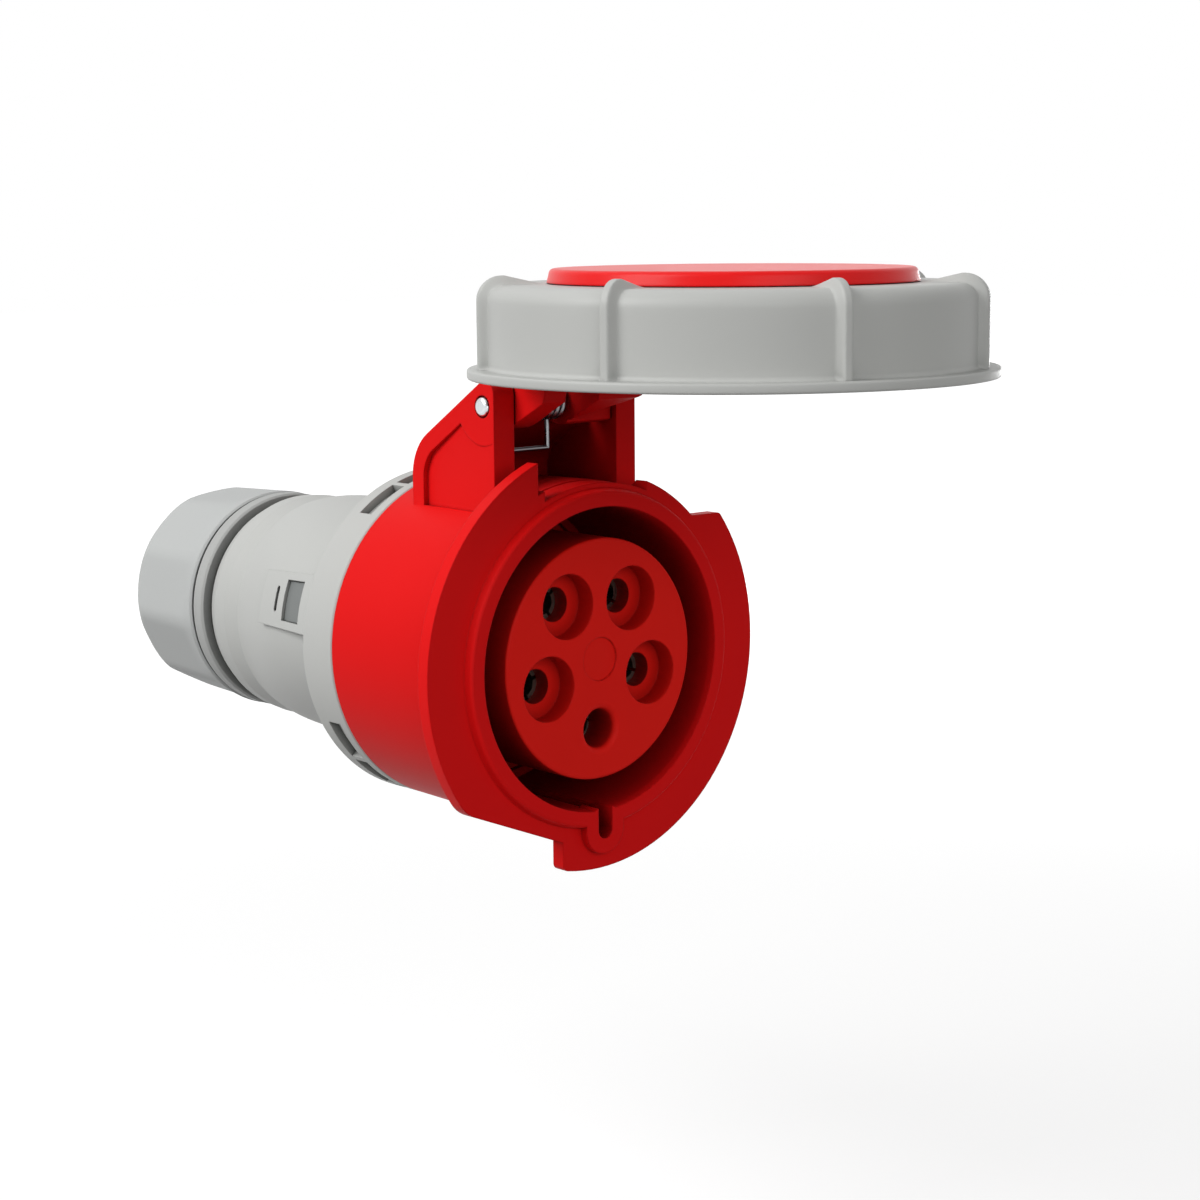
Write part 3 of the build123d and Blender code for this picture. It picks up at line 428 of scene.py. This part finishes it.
def closed_ends(obj: bpy.types.Object, columns: int) -> bpy.types.Object:
    """Close the two open ends of a sector that stands alone.

    Args:
        obj: Sector made by sector_mesh.
        columns: Number of its columns.

    Returns:
        The same object.
    """
    vertices = [v.co[:] for v in obj.data.vertices]
    count = len(vertices) // columns
    ends = [tuple(range(count)), tuple(reversed(range(len(vertices) - count, len(vertices))))]
    faces = [tuple(p.vertices) for p in obj.data.polygons] + ends
    obj.data.clear_geometry()
    obj.data.from_pydata(vertices, [], faces)
    return obj


def repeat_tree(name: str, material: bpy.types.Material, turn: Turn) -> bpy.types.NodeTree:
    """Build the Geometry Nodes tree that repeats a sector about an axis and joins it up.

    Args:
        name: Name of the tree.
        material: Material of the result.
        turn: Axis of the repeats.

    Returns:
        A tree with the inputs Count, First Angle, Centre and Weld.
    """
    tree = bpy.data.node_groups.new(name, "GeometryNodeTree")
    sockets = {"Geometry": "Geometry", "Count": "Int", "First Angle": "Float", "Centre": "Vector",
               "Weld": "Float"}
    for label, kind in sockets.items():
        tree.interface.new_socket(label, in_out="INPUT", socket_type=f"NodeSocket{kind}")
    tree.interface.new_socket("Geometry", in_out="OUTPUT", socket_type="NodeSocketGeometry")
    given = add_node(tree, "NodeGroupInput").outputs
    points = add_node(tree, "GeometryNodePoints", {"Count": given["Count"], "Position": given["Centre"]})
    index = add_node(tree, "GeometryNodeInputIndex")
    step = add_node(tree, "ShaderNodeMath", {1: given["Count"]}, {0: math.tau}, operation="DIVIDE")
    angle = add_node(tree, "ShaderNodeMath",
                     {0: index.outputs[0], 1: step.outputs[0], 2: given["First Angle"]},
                     operation="MULTIPLY_ADD")
    axis = "Z" if turn is Turn.ALONG_Z else "Y"
    around = add_node(tree, "ShaderNodeCombineXYZ", {axis: angle.outputs[0]})
    copies = add_node(tree, "GeometryNodeInstanceOnPoints",
                      {"Points": points.outputs[0], "Instance": given["Geometry"],
                       "Rotation": around.outputs[0]})
    real = add_node(tree, "GeometryNodeRealizeInstances", {0: copies.outputs[0]})
    weld = add_node(tree, "GeometryNodeMergeByDistance",
                    {"Geometry": real.outputs[0], "Distance": given["Weld"]})
    dressed = add_node(tree, "GeometryNodeSetMaterial", {"Geometry": weld.outputs[0]}, {"Material": material})
    add_node(tree, "NodeGroupOutput", {0: dressed.outputs[0]})
    return tree


def repeated(sector: bpy.types.Object, material: bpy.types.Material, turn: Turn, count: int,
             first_angle: float = 0.0, centre: Vector = Vector()) -> bpy.types.Object:
    """Repeat a sector about its axis with Geometry Nodes and keep the result as a plain mesh.

    Args:
        sector: One repeat, with its axis through the origin.
        material: Material of the result.
        turn: Axis of the repeats.
        count: Number of repeats in a full turn.
        first_angle: Angle of the first repeat in radians, right-handed about the axis.
        centre: Place of the axis, in metres.

    Returns:
        The finished object, at the world origin.
    """
    tree = repeat_tree(f"{sector.name}_repeat", material, turn)
    modifier = sector.modifiers.new("repeat", "NODES")
    modifier.node_group = tree
    inputs = {item.name: item.identifier for item in tree.interface.items_tree if item.in_out == "INPUT"}
    modifier[inputs["Count"]] = count
    modifier[inputs["First Angle"]] = first_angle
    modifier[inputs["Centre"]] = tuple(centre)
    modifier[inputs["Weld"]] = WELD_MM * MM
    graph = bpy.context.evaluated_depsgraph_get()
    mesh = bpy.data.meshes.new_from_object(sector.evaluated_get(graph))
    sector.modifiers.remove(modifier)
    sector.data = mesh
    return shade(sector)


def keep(obj: bpy.types.Object, body: Body, slot: str, *nodes: str) -> None:
    """Put a made piece on its body and let it stand for CAD nodes.

    Args:
        obj: The made piece.
        body: Body that it rides on.
        slot: Material slot of the record; not used.
        *nodes: CAD nodes that it replaces.
    """
    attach(obj, body.value)
    if nodes:
        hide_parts(*nodes)
    LOG.info("piece %s rides on %s, %d faces", obj.name, body.value, len(obj.data.polygons))


def dress(finish: MouldedPlastic | PlatedMetal | MouldedRubber, nodes: Iterable[str]) -> None:
    """Give a finish to CAD nodes as they are.

    Args:
        finish: Finish of all the nodes.
        nodes: Names of the CAD nodes.
    """
    material = finish.build()
    for name in nodes:
        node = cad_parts[name]
        node.data.materials.clear()
        node.data.materials.append(material)
        LOG.info("node %s is %s", name, finish.name)


# Sub-assemblies


@dataclass
class SocketBody:
    """Red front housing with its insert, and the grey rear housing behind it."""

    housing: tuple[str, ...] = ("front_housing",)
    insert: tuple[str, ...] = ("contact_carrier",)
    rear: tuple[str, ...] = ("rear_housing",)
    latches: tuple[str, ...] = ("housing_latches",)
    seals: tuple[str, ...] = ("housing_seal", "cable_grommet", "lid_seal")

    def build(self) -> None:
        """Dress the housings, the insert, the latches and the seals."""
        dress(RED_HOUSING, self.housing)
        dress(RED_INSERT, self.insert)
        dress(GREY_HOUSING, self.rear)
        dress(GREY_LATCH, self.latches)
        dress(SEAL_RUBBER, self.seals)


@dataclass
class Contacts:
    """Plated contacts with their spring sleeves and screws, deep in the insert."""

    tubes: tuple[str, ...] = ("contact_l1", "contact_l2", "contact_l3", "contact_neutral", "contact_earth")
    sleeves: tuple[str, ...] = ("contact_springs",)
    screws: tuple[str, ...] = ("terminal_screws",)

    def build(self) -> None:
        """Dress the metal parts."""
        dress(NICKEL_CONTACT, self.tubes)
        dress(DRAWN_WIRE, self.sleeves)
        dress(ZINC_SCREW, self.screws)


@dataclass
class Hinge:
    """Pin and spring between the ears."""

    pin: str = "hinge_pin"
    spring: str = "hinge_spring"

    def build(self) -> None:
        """Dress the pin and the spring."""
        dress(BRIGHT_PIN, (self.pin,))
        dress(DRAWN_WIRE, (self.spring,))


@dataclass
class Lid:
    """Red lid cap and its polished cover disc."""

    cap: tuple[str, ...] = ("lid_cap",)
    disc: tuple[str, ...] = ("lid_cover",)

    def build(self) -> None:
        """Dress the lid."""
        dress(RED_HOUSING, self.cap)
        dress(RED_COVER, self.disc)


@dataclass
class BayonetRing:
    """Grey ring round the lid: flange, wall with seven soft ribs, and a top with a hole.

    Sizes are in mm and degrees. A rib's crest is flat for rib_flat to each side and runs out
    into the wall by rib_foot, both along the wall.
    """

    flange_t: float = 2.1
    wall_r: float = 51.3
    inner_r: float = 49.2
    top_z: float = 85.0
    top_t: float = 2.3
    hole_r: float = 33.0
    shoulder_r: float = 3.6
    shoulder_end: float = 0.6
    cove_r: float = 1.0
    edge_r: float = 0.5
    rib_count: int = 7
    rib_first: float = -162.0
    rib_r: float = 53.4
    rib_round: float = 5.2
    rib_crest_r: float = 47.6
    rib_end_r: float = 39.4
    rib_flat: float = 0.62
    rib_foot: float = 1.95
    rib_step: float = 0.22
    rib_columns: int = 12
    wall_columns: int = 10
    cove_steps: int = 5
    wall_steps: int = 8
    shoulder_steps: int = 10
    crest_steps: int = 2
    slope_steps: int = 12
    edge_steps: int = 4
    bend_steps: int = 6
    inner_bend_r: float = 1.5
    lug_inner_r: float = 45.0
    lug_t: float = 2.3
    lug_edge: float = 0.3
    lug_root: float = 0.4
    lug_count: int = 2
    lug_angle: float = 60.5
    lug_half: float = 9.0
    lug_columns: int = 16
    centre_y: float = 0.0
    flange_r: float = 0.0
    bottom_z: float = 0.0
    rib_top_z: float = 0.0

    def measure(self) -> None:
        """Take the ring's axis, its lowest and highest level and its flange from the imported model."""
        low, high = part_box("bayonet_ring")
        self.centre_y = (low[1] + high[1]) / MM / 2
        self.flange_r = (high[1] - low[1]) / MM / 2
        self.bottom_z, self.rib_top_z = low[2] / MM, high[2] / MM

    def outer(self, ribbed: bool) -> list[Point]:
        """Outside of the section from the flange up and over to the disc's edge.

        Args:
            ribbed: True along a rib's middle, False between the ribs.

        Returns:
            Points in mm, the same number for both.
        """
        foot = self.bottom_z + self.flange_t
        if ribbed:
            r, top, bend = self.rib_r, self.rib_top_z, self.rib_round
            low = run((r, foot), (r, foot + self.cove_r), self.cove_steps)
        else:
            r, top, bend = self.wall_r, self.top_z, self.shoulder_r
            low = arc((r + self.cove_r, foot + self.cove_r), self.cove_r, 270, 180, self.cove_steps)
        wall = run((r, foot + self.cove_r), (r, top - bend), self.wall_steps)
        shoulder = arc((r - bend, top - bend), bend, 0, 90, self.shoulder_steps)
        crest_r = self.rib_crest_r if ribbed else r - bend - self.shoulder_end
        crest = run((r - bend, top), (crest_r, top), self.crest_steps)
        slope = run(crest[-1], (self.rib_end_r, self.top_z), self.slope_steps)
        return low + wall[1:] + shoulder[1:] + crest[1:] + slope[1:]

    def section(self, angle: float) -> list[Point]:
        """Closed section of the ring at an angle from the rib's middle.

        Args:
            angle: Degrees from the rib.

        Returns:
            Points in mm, from the lid's axis and up.
        """
        plain, rib = self.outer(False), self.outer(True)
        path: list[Point] = []
        for (r0, z0), (r1, z1) in zip(plain, rib):
            aside = abs(math.radians(angle)) * 0.5 * (r0 + r1)
            share = 1 - ease((aside - self.rib_flat) / (self.rib_foot - self.rib_flat))
            path.append((r0 + (r1 - r0) * share, z0 + (z1 - z0) * share))
        low, foot, e = self.bottom_z, self.bottom_z + self.flange_t, self.edge_r
        flange = [(self.inner_r, low),
                  *arc((self.flange_r - e, low + e), e, -90, 0, self.edge_steps),
                  *arc((self.flange_r - e, foot - e), e, 0, 90, self.edge_steps)]
        under = self.top_z - self.top_t
        bend = self.inner_bend_r
        inside = [(self.hole_r, self.top_z), (self.hole_r, under),
                  *arc((self.inner_r - bend, under - bend), bend, 90, 0, self.bend_steps)]
        return flange + path + inside

    def columns(self) -> list[float]:
        """Angles of one rib's share of the ring, close together on the rib and wide apart beside it.

        Returns:
            Degrees from the rib's middle, rising.
        """
        reach = 180 / self.rib_count
        fine = [i * self.rib_step for i in range(self.rib_columns + 1)]
        rest = reach - fine[-1]
        wide = [fine[-1] + rest * i / self.wall_columns for i in range(1, self.wall_columns + 1)]
        half = fine + wide
        return [-a for a in reversed(half[1:])] + half

    def lug_section(self, _angle: float) -> list[Point]:
        """Closed section of a lug: its root in the wall and two broken edges inside.

        Args:
            _angle: Not used, as the section is the same at every angle.

        Returns:
            Points in mm, from the lid's axis and up.
        """
        low, high = self.bottom_z, self.bottom_z + self.lug_t
        root, tip, edge = self.inner_r + self.lug_root, self.lug_inner_r, self.lug_edge
        return [(root, low), (root, high), (tip + edge, high), (tip, high - edge),
                (tip, low + edge), (tip + edge, low)]

    def build(self) -> None:
        """Build one rib with its share of the ring, repeat it, and add the two lugs."""
        self.measure()
        centre = Vector((0, self.centre_y * MM, 0))
        material = GREY_RING.build()
        ring = sector_mesh("grip_ring", Turn.ALONG_Z, self.columns(), self.section)
        ring = repeated(ring, material, Turn.ALONG_Z, self.rib_count, math.radians(self.rib_first), centre)
        keep(ring, Body.RING, "grey_polyamide", "bayonet_ring")
        angles = [self.lug_half * (2 * i / self.lug_columns - 1) for i in range(self.lug_columns + 1)]
        lug = closed_ends(sector_mesh("lock_lugs", Turn.ALONG_Z, angles, self.lug_section), len(angles))
        lug = repeated(lug, material, Turn.ALONG_Z, self.lug_count, math.radians(self.lug_angle), centre)
        keep(lug, Body.RING, "grey_polyamide")


@dataclass
class CableGland:
    """Lock ring, cage, washer and the ten-sided nut at the cable's end.

    Sizes are in mm, and first_flat is in degrees. The flats begin within the band, flat_lead
    of its width before its end, and reach their whole depth after flat_runout.
    """

    band: float = 3.0
    rear_r: float = 27.2
    flat_depth: float = 1.0
    dome_length: float = 6.0
    dome_r: float = 20.8
    exit_r: float = 13.5
    exit_length: float = 3.8
    seat_y: float = 144.6
    hollow_r: float = 18.0
    hollow_length: float = 6.0
    bore_r: float = 24.5
    flats: int = 10
    first_flat: float = 26.5
    edge: float = 0.5
    bore_edge: float = 0.4
    flat_lead: float = 0.4
    flat_runout: float = 2.5
    flat_softness: float = 0.12
    cone_steps: int = 14
    dome_steps: int = 12
    half_columns: int = 12
    front_y: float = 0.0
    back_y: float = 0.0
    front_r: float = 0.0

    def measure(self) -> None:
        """Take the nut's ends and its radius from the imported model."""
        low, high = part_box("gland_nut")
        self.front_y, self.back_y = low[1] / MM, high[1] / MM
        self.front_r = (high[0] - low[0]) / MM / 2

    def dome(self, slope: float, steps: int) -> list[Point]:
        """Arc from the end of the cone to the rear face, tangent to the cone.

        Args:
            slope: Loss of radius for each mm of length on the cone.
            steps: Number of runs along the arc.

        Returns:
            Points in mm, the first left out.
        """
        shoulder_y = self.back_y - self.dome_length
        out = Vector((1.0, slope)).normalized()
        chord = Vector((self.dome_r - self.rear_r, self.back_y - shoulder_y))
        radius = -chord.length_squared / (2 * chord.dot(out))
        centre = Vector((self.rear_r, shoulder_y)) - out * radius
        start = math.degrees(math.atan2(out.y, out.x))
        end = math.degrees(math.atan2(self.back_y - centre.y, self.dome_r - centre.x))
        return arc((centre.x, centre.y), radius, start, end, steps)[1:]

    def section(self, angle: float) -> list[Point]:
        """Closed section of the nut.

        Args:
            angle: Degrees from a flat's middle.

        Returns:
            Points in mm, from the nut's axis and along it.
        """
        shoulder_y = self.back_y - self.dome_length
        band_y = self.front_y + self.band
        slope = (self.front_r - self.rear_r) / (shoulder_y - band_y)
        start_y = band_y - self.flat_lead * self.band
        cone = run((self.front_r, start_y), (self.rear_r, shoulder_y), self.cone_steps)[1:]
        outside: list[Point] = [(self.front_r - self.edge, self.front_y),
                                (self.front_r, self.front_y + self.edge)]
        for r, y in cone + self.dome(slope, self.dome_steps):
            thinner = slope * max(0.0, y - band_y)
            r = min(r, self.front_r - thinner) if y <= shoulder_y else r
            flat = (self.front_r - self.flat_depth - thinner) / math.cos(math.radians(angle))
            low = soft_least(r, flat, self.flat_softness)
            outside.append((r + (low - r) * ease((y - start_y) / self.flat_runout), y))
        e = self.bore_edge
        inside = [(self.exit_r + e, self.back_y), (self.exit_r, self.back_y - e),
                  (self.exit_r, self.back_y - self.exit_length),
                  (self.hollow_r, self.seat_y + self.hollow_length), (self.hollow_r, self.seat_y),
                  (self.bore_r, self.seat_y), (self.bore_r, self.front_y + e),
                  (self.bore_r + e, self.front_y)]
        return outside + inside

    def build(self) -> None:
        """Dress the hidden pieces and build the nut."""
        self.measure()
        dress(GREY_LOCK, ("lock_ring", "gland_washer"))
        dress(WHITE_CAGE, ("gland_cage",))
        reach = 180 / self.flats
        columns = [reach * (i / self.half_columns - 1) for i in range(2 * self.half_columns + 1)]
        nut = sector_mesh("gland_nut_grip", Turn.ALONG_Y, columns, self.section)
        nut = repeated(nut, GREY_NUT.build(), Turn.ALONG_Y, self.flats, -math.radians(self.first_flat))
        keep(nut, Body.NUT, "grey_polyamide", "gland_nut")


# Studio


@dataclass(frozen=True)
class Lamp:
    """One soft lamp of the studio, with lengths in metres and its power in watts."""

    name: str
    place: tuple[float, float, float]
    aim: tuple[float, float, float]
    size: tuple[float, float]
    power: float

    def build(self) -> None:
        """Add the lamp and aim it."""
        data = bpy.data.lights.new(self.name, "AREA")
        data.shape = "RECTANGLE"
        data.size, data.size_y = self.size
        data.energy = self.power
        lamp = bpy.data.objects.new(self.name, data)
        lamp.location = self.place
        lamp.rotation_euler = (Vector(self.aim) - Vector(self.place)).to_track_quat("-Z", "Y").to_euler()
        bpy.context.scene.collection.objects.link(lamp)


@dataclass
class Studio:
    """Pale floor, white surroundings, soft lamps and the camera of the photograph.

    Lengths are in metres and angles in degrees. The floor glows by near_glow up to glow_start
    from the origin and by far_glow from glow_end on, so that it is white far off and keeps a
    soft shadow near the object.
    """

    floor_z: float = -0.17
    camera_azimuth: float = -41.60918
    camera_elevation: float = 8.952617
    camera_roll: float = -0.452512
    camera_distance: float = 0.590399669
    camera_target: tuple[float, float, float] = (0.0266925892, 0.030, 0.0071770182)
    focal_pixels: float = 2447.48655
    sensor_mm: float = 36.0
    world_light: float = 0.28
    near_glow: float = 0.64
    far_glow: float = 1.0
    glow_start: float = 0.35
    glow_end: float = 1.5
    floor_reach: float = 6.0
    floor_paper: str = "#b4b4b4"
    floor_bounce: str = "#828282"
    clip_near: float = 0.01
    clip_far: float = 50.0
    lamps: tuple[Lamp, ...] = (
        Lamp("key_left", (-0.95, 0.22, 0.68), (0.0, 0.03, 0.02), (0.7, 0.7), 10.9),
        Lamp("top_rear", (0.1, 0.55, 1.0), (0.0, 0.0, 0.05), (1.0, 0.7), 1.4),
        Lamp("front_fill", (-0.35, -1.2, 0.35), (0.0, 0.0, 0.03), (0.9, 0.7), 4.8),
        Lamp("right_low", (1.1, 0.6, 0.02), (0.0, 0.04, 0.0), (0.8, 0.18), 4.0),
    )

    def camera(self) -> None:
        """Set the camera where the photograph was taken from."""
        a, e = math.radians(self.camera_azimuth), math.radians(self.camera_elevation)
        roll = math.radians(self.camera_roll)
        back = Vector((math.sin(a) * math.cos(e), -math.cos(a) * math.cos(e), math.sin(e)))
        right = (-back).cross(Vector((0, 0, 1))).normalized()
        up = right.cross(-back)
        turned_right = math.cos(roll) * right + math.sin(roll) * up
        turned_up = -math.sin(roll) * right + math.cos(roll) * up
        data = bpy.data.cameras.new("camera")
        data.sensor_width = self.sensor_mm
        data.lens = self.focal_pixels / IMAGE_PIXELS * self.sensor_mm
        data.clip_start, data.clip_end = self.clip_near, self.clip_far
        camera = bpy.data.objects.new("camera", data)
        axes = Matrix((turned_right, turned_up, back)).transposed().to_4x4()
        place = Vector(self.camera_target) + back * self.camera_distance
        camera.matrix_world = Matrix.Translation(place) @ axes
        bpy.context.scene.collection.objects.link(camera)
        bpy.context.scene.camera = camera

    def seen(self, tree: bpy.types.NodeTree) -> bpy.types.NodeSocket:
        """One where a ray comes from the camera, a mirror or glass, nought for light.

        Args:
            tree: Tree that gets the nodes.

        Returns:
            The socket with the value.
        """
        path = add_node(tree, "ShaderNodeLightPath").outputs
        gloss = add_node(tree, "ShaderNodeMath", {0: path["Is Camera Ray"], 1: path["Is Glossy Ray"]},
                         operation="MAXIMUM")
        both = add_node(tree, "ShaderNodeMath", {0: gloss.outputs[0], 1: path["Is Transmission Ray"]},
                        operation="MAXIMUM")
        return both.outputs[0]

    def world(self) -> None:
        """White to the eye and softer as a light."""
        world = bpy.data.worlds.new("studio_world")
        bpy.context.scene.world = world
        world.use_nodes = True
        tree = world.node_tree
        tree.nodes.clear()
        light = add_node(tree, "ShaderNodeBackground", None, {"Color": WHITE, "Strength": self.world_light})
        white = add_node(tree, "ShaderNodeBackground", None, {"Color": WHITE, "Strength": 1.0})
        mix = add_node(tree, "ShaderNodeMixShader",
                       {0: self.seen(tree), 1: light.outputs[0], 2: white.outputs[0]})
        add_node(tree, "ShaderNodeOutputWorld", {"Surface": mix.outputs[0]})

    def floor(self) -> None:
        """Pale floor that reads as white and keeps a soft shadow."""
        mesh = bpy.data.meshes.new("studio_floor")
        reach, level = self.floor_reach, self.floor_z
        corners = [(x * reach, y * reach, level) for x, y in ((-1, -1), (1, -1), (1, 1), (-1, 1))]
        mesh.from_pydata(corners, [], [(0, 1, 2, 3)])
        floor = bpy.data.objects.new("studio_floor", mesh)
        bpy.context.scene.collection.objects.link(floor)
        material, tree = empty_material("matt_white_paper_floor")
        paper = add_node(tree, "ShaderNodeBsdfDiffuse", None, {"Color": linear(self.floor_paper)})
        bounce = add_node(tree, "ShaderNodeBsdfDiffuse", None, {"Color": linear(self.floor_bounce)})
        place = add_node(tree, "ShaderNodeTexCoord").outputs["Object"]
        away = add_node(tree, "ShaderNodeVectorMath", {0: place}, operation="LENGTH").outputs["Value"]
        strength = add_node(tree, "ShaderNodeMapRange", {"Value": away},
                            {"From Min": self.glow_start, "From Max": self.glow_end,
                             "To Min": self.near_glow, "To Max": self.far_glow},
                            interpolation_type="SMOOTHSTEP")
        glow = add_node(tree, "ShaderNodeEmission", {"Strength": strength.outputs[0]}, {"Color": WHITE})
        lit = add_node(tree, "ShaderNodeAddShader", {0: paper.outputs[0], 1: glow.outputs[0]})
        mix = add_node(tree, "ShaderNodeMixShader",
                       {0: self.seen(tree), 1: bounce.outputs[0], 2: lit.outputs[0]})
        add_node(tree, "ShaderNodeOutputMaterial", {"Surface": mix.outputs[0]})
        floor.data.materials.append(material)

    def build(self) -> None:
        """Build the studio."""
        bpy.context.scene.view_settings.view_transform = "Standard"
        self.world()
        self.floor()
        for lamp in self.lamps:
            lamp.build()
        self.camera()


def main() -> None:
    """Build the object and its studio in order."""
    logging.basicConfig(level=logging.INFO, format="%(name)s: %(message)s")
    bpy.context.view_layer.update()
    for part in (SocketBody(), Contacts(), Hinge(), Lid(), BayonetRing(), CableGland(), Studio()):
        part.build()
        LOG.info("built %s", type(part).__name__)


if __name__ == "__main__":
    main()
